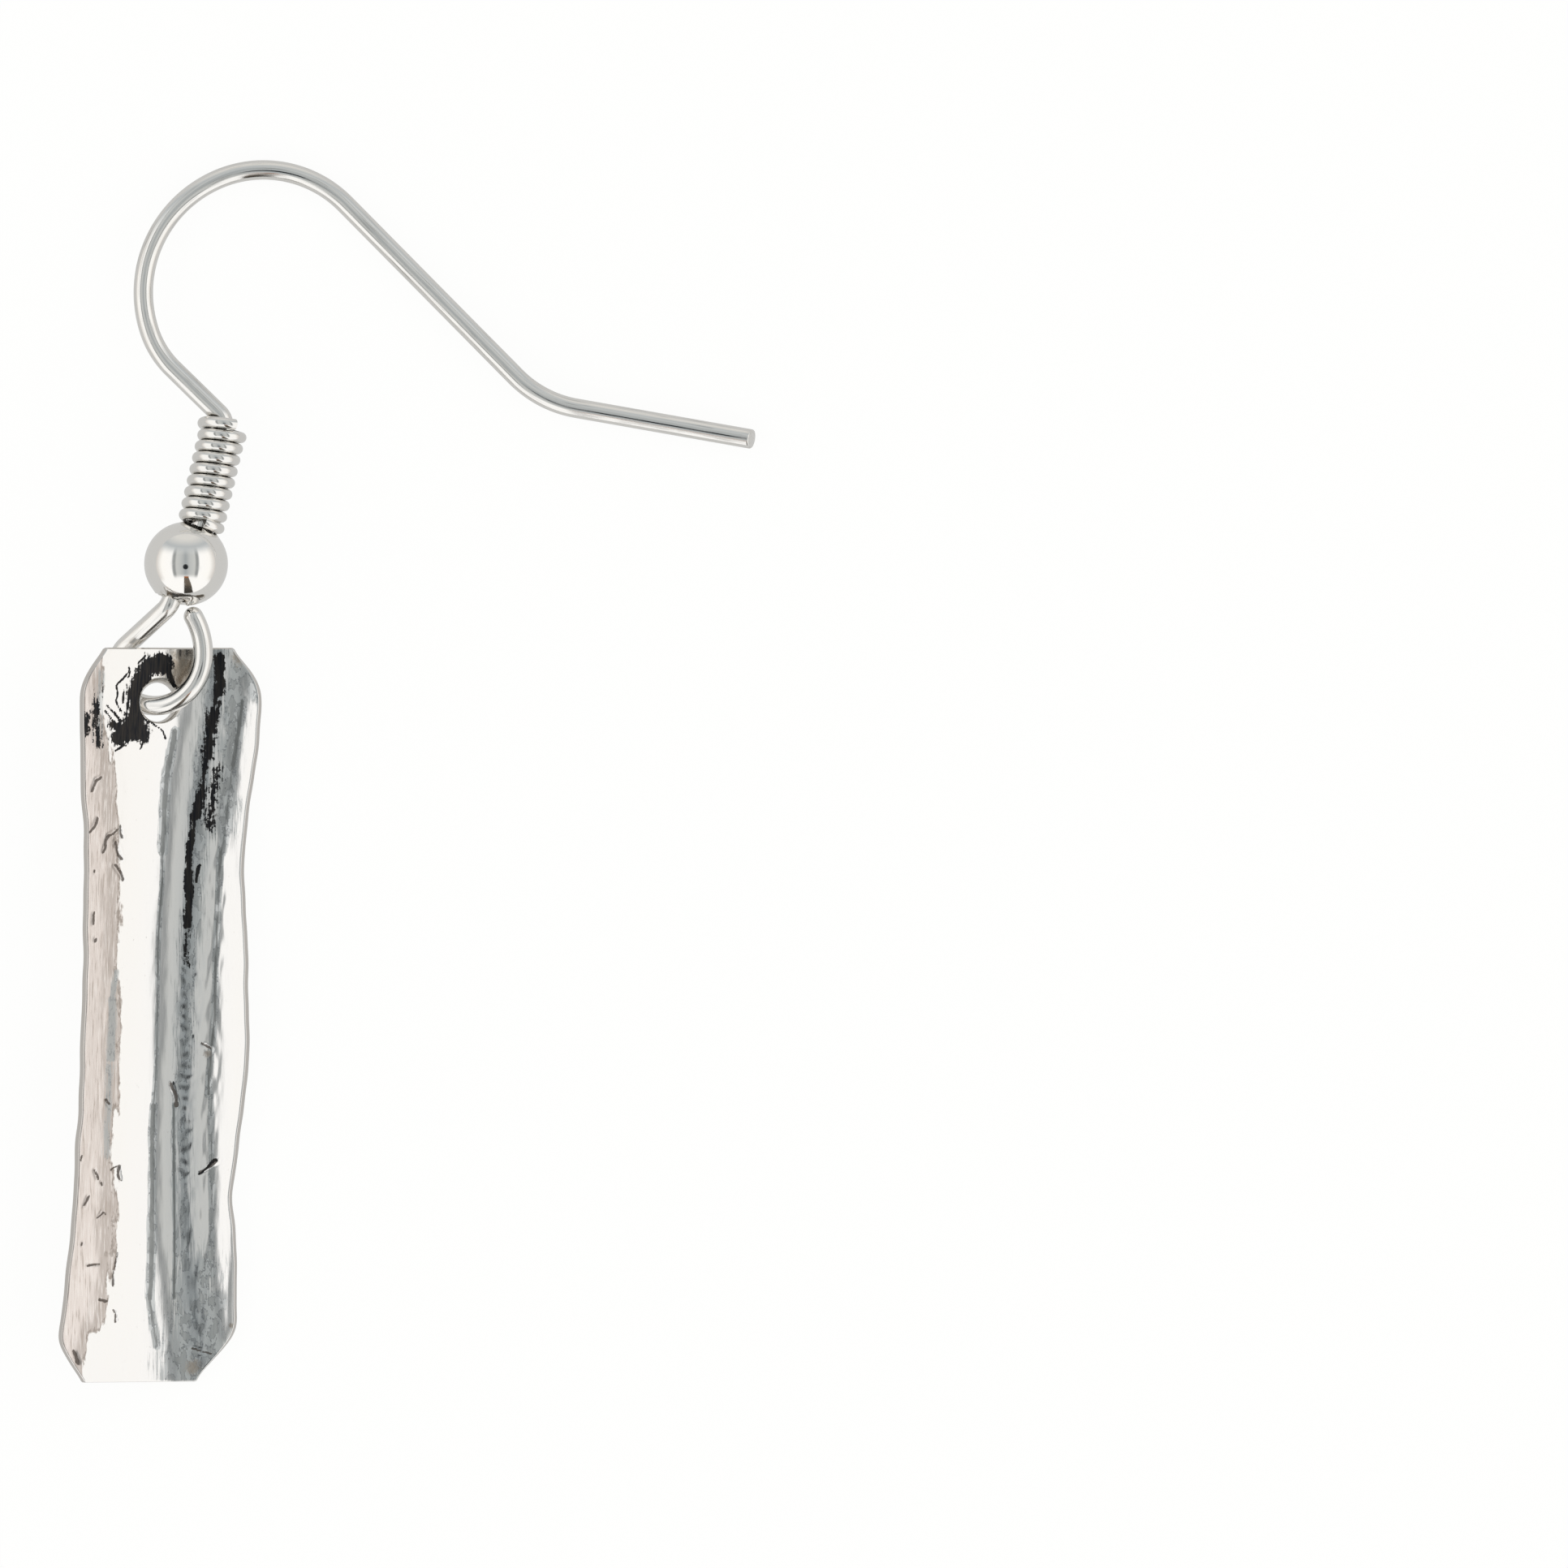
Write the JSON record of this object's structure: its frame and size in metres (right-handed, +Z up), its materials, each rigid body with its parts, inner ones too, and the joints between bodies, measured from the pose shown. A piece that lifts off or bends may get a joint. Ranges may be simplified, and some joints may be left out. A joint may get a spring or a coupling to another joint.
{
  "type": "bar drop earring",
  "caption": "Channel-shaped metal bar with clipped corners, hung by a hole near its top on the loop of a fishhook ear wire with a coil and a round bead.",
  "frame": {"origin": "on the surface the earring lies on, under the middle of its bounding box", "axes": "+Y from the foot of the bar towards the top of the hook, +X towards the hook's tail, +Z up off the surface, out of the hollow face of the bar"},
  "size_m": [0.025, 0.0438, 0.003],
  "materials": {
    "wire_silver": "polished sterling silver wire",
    "coil_silver": "polished sterling silver wire with darkened gaps",
    "bead_silver": "polished sterling silver",
    "bar_silver": "hammered and drawn sterling silver, oxidised and wiped back, pitted"
  },
  "bodies": {
    "root": {"ear_hook": "wire_silver", "coil": "coil_silver", "bead": "bead_silver", "bar": "bar_silver"}
  },
  "joints": []
}
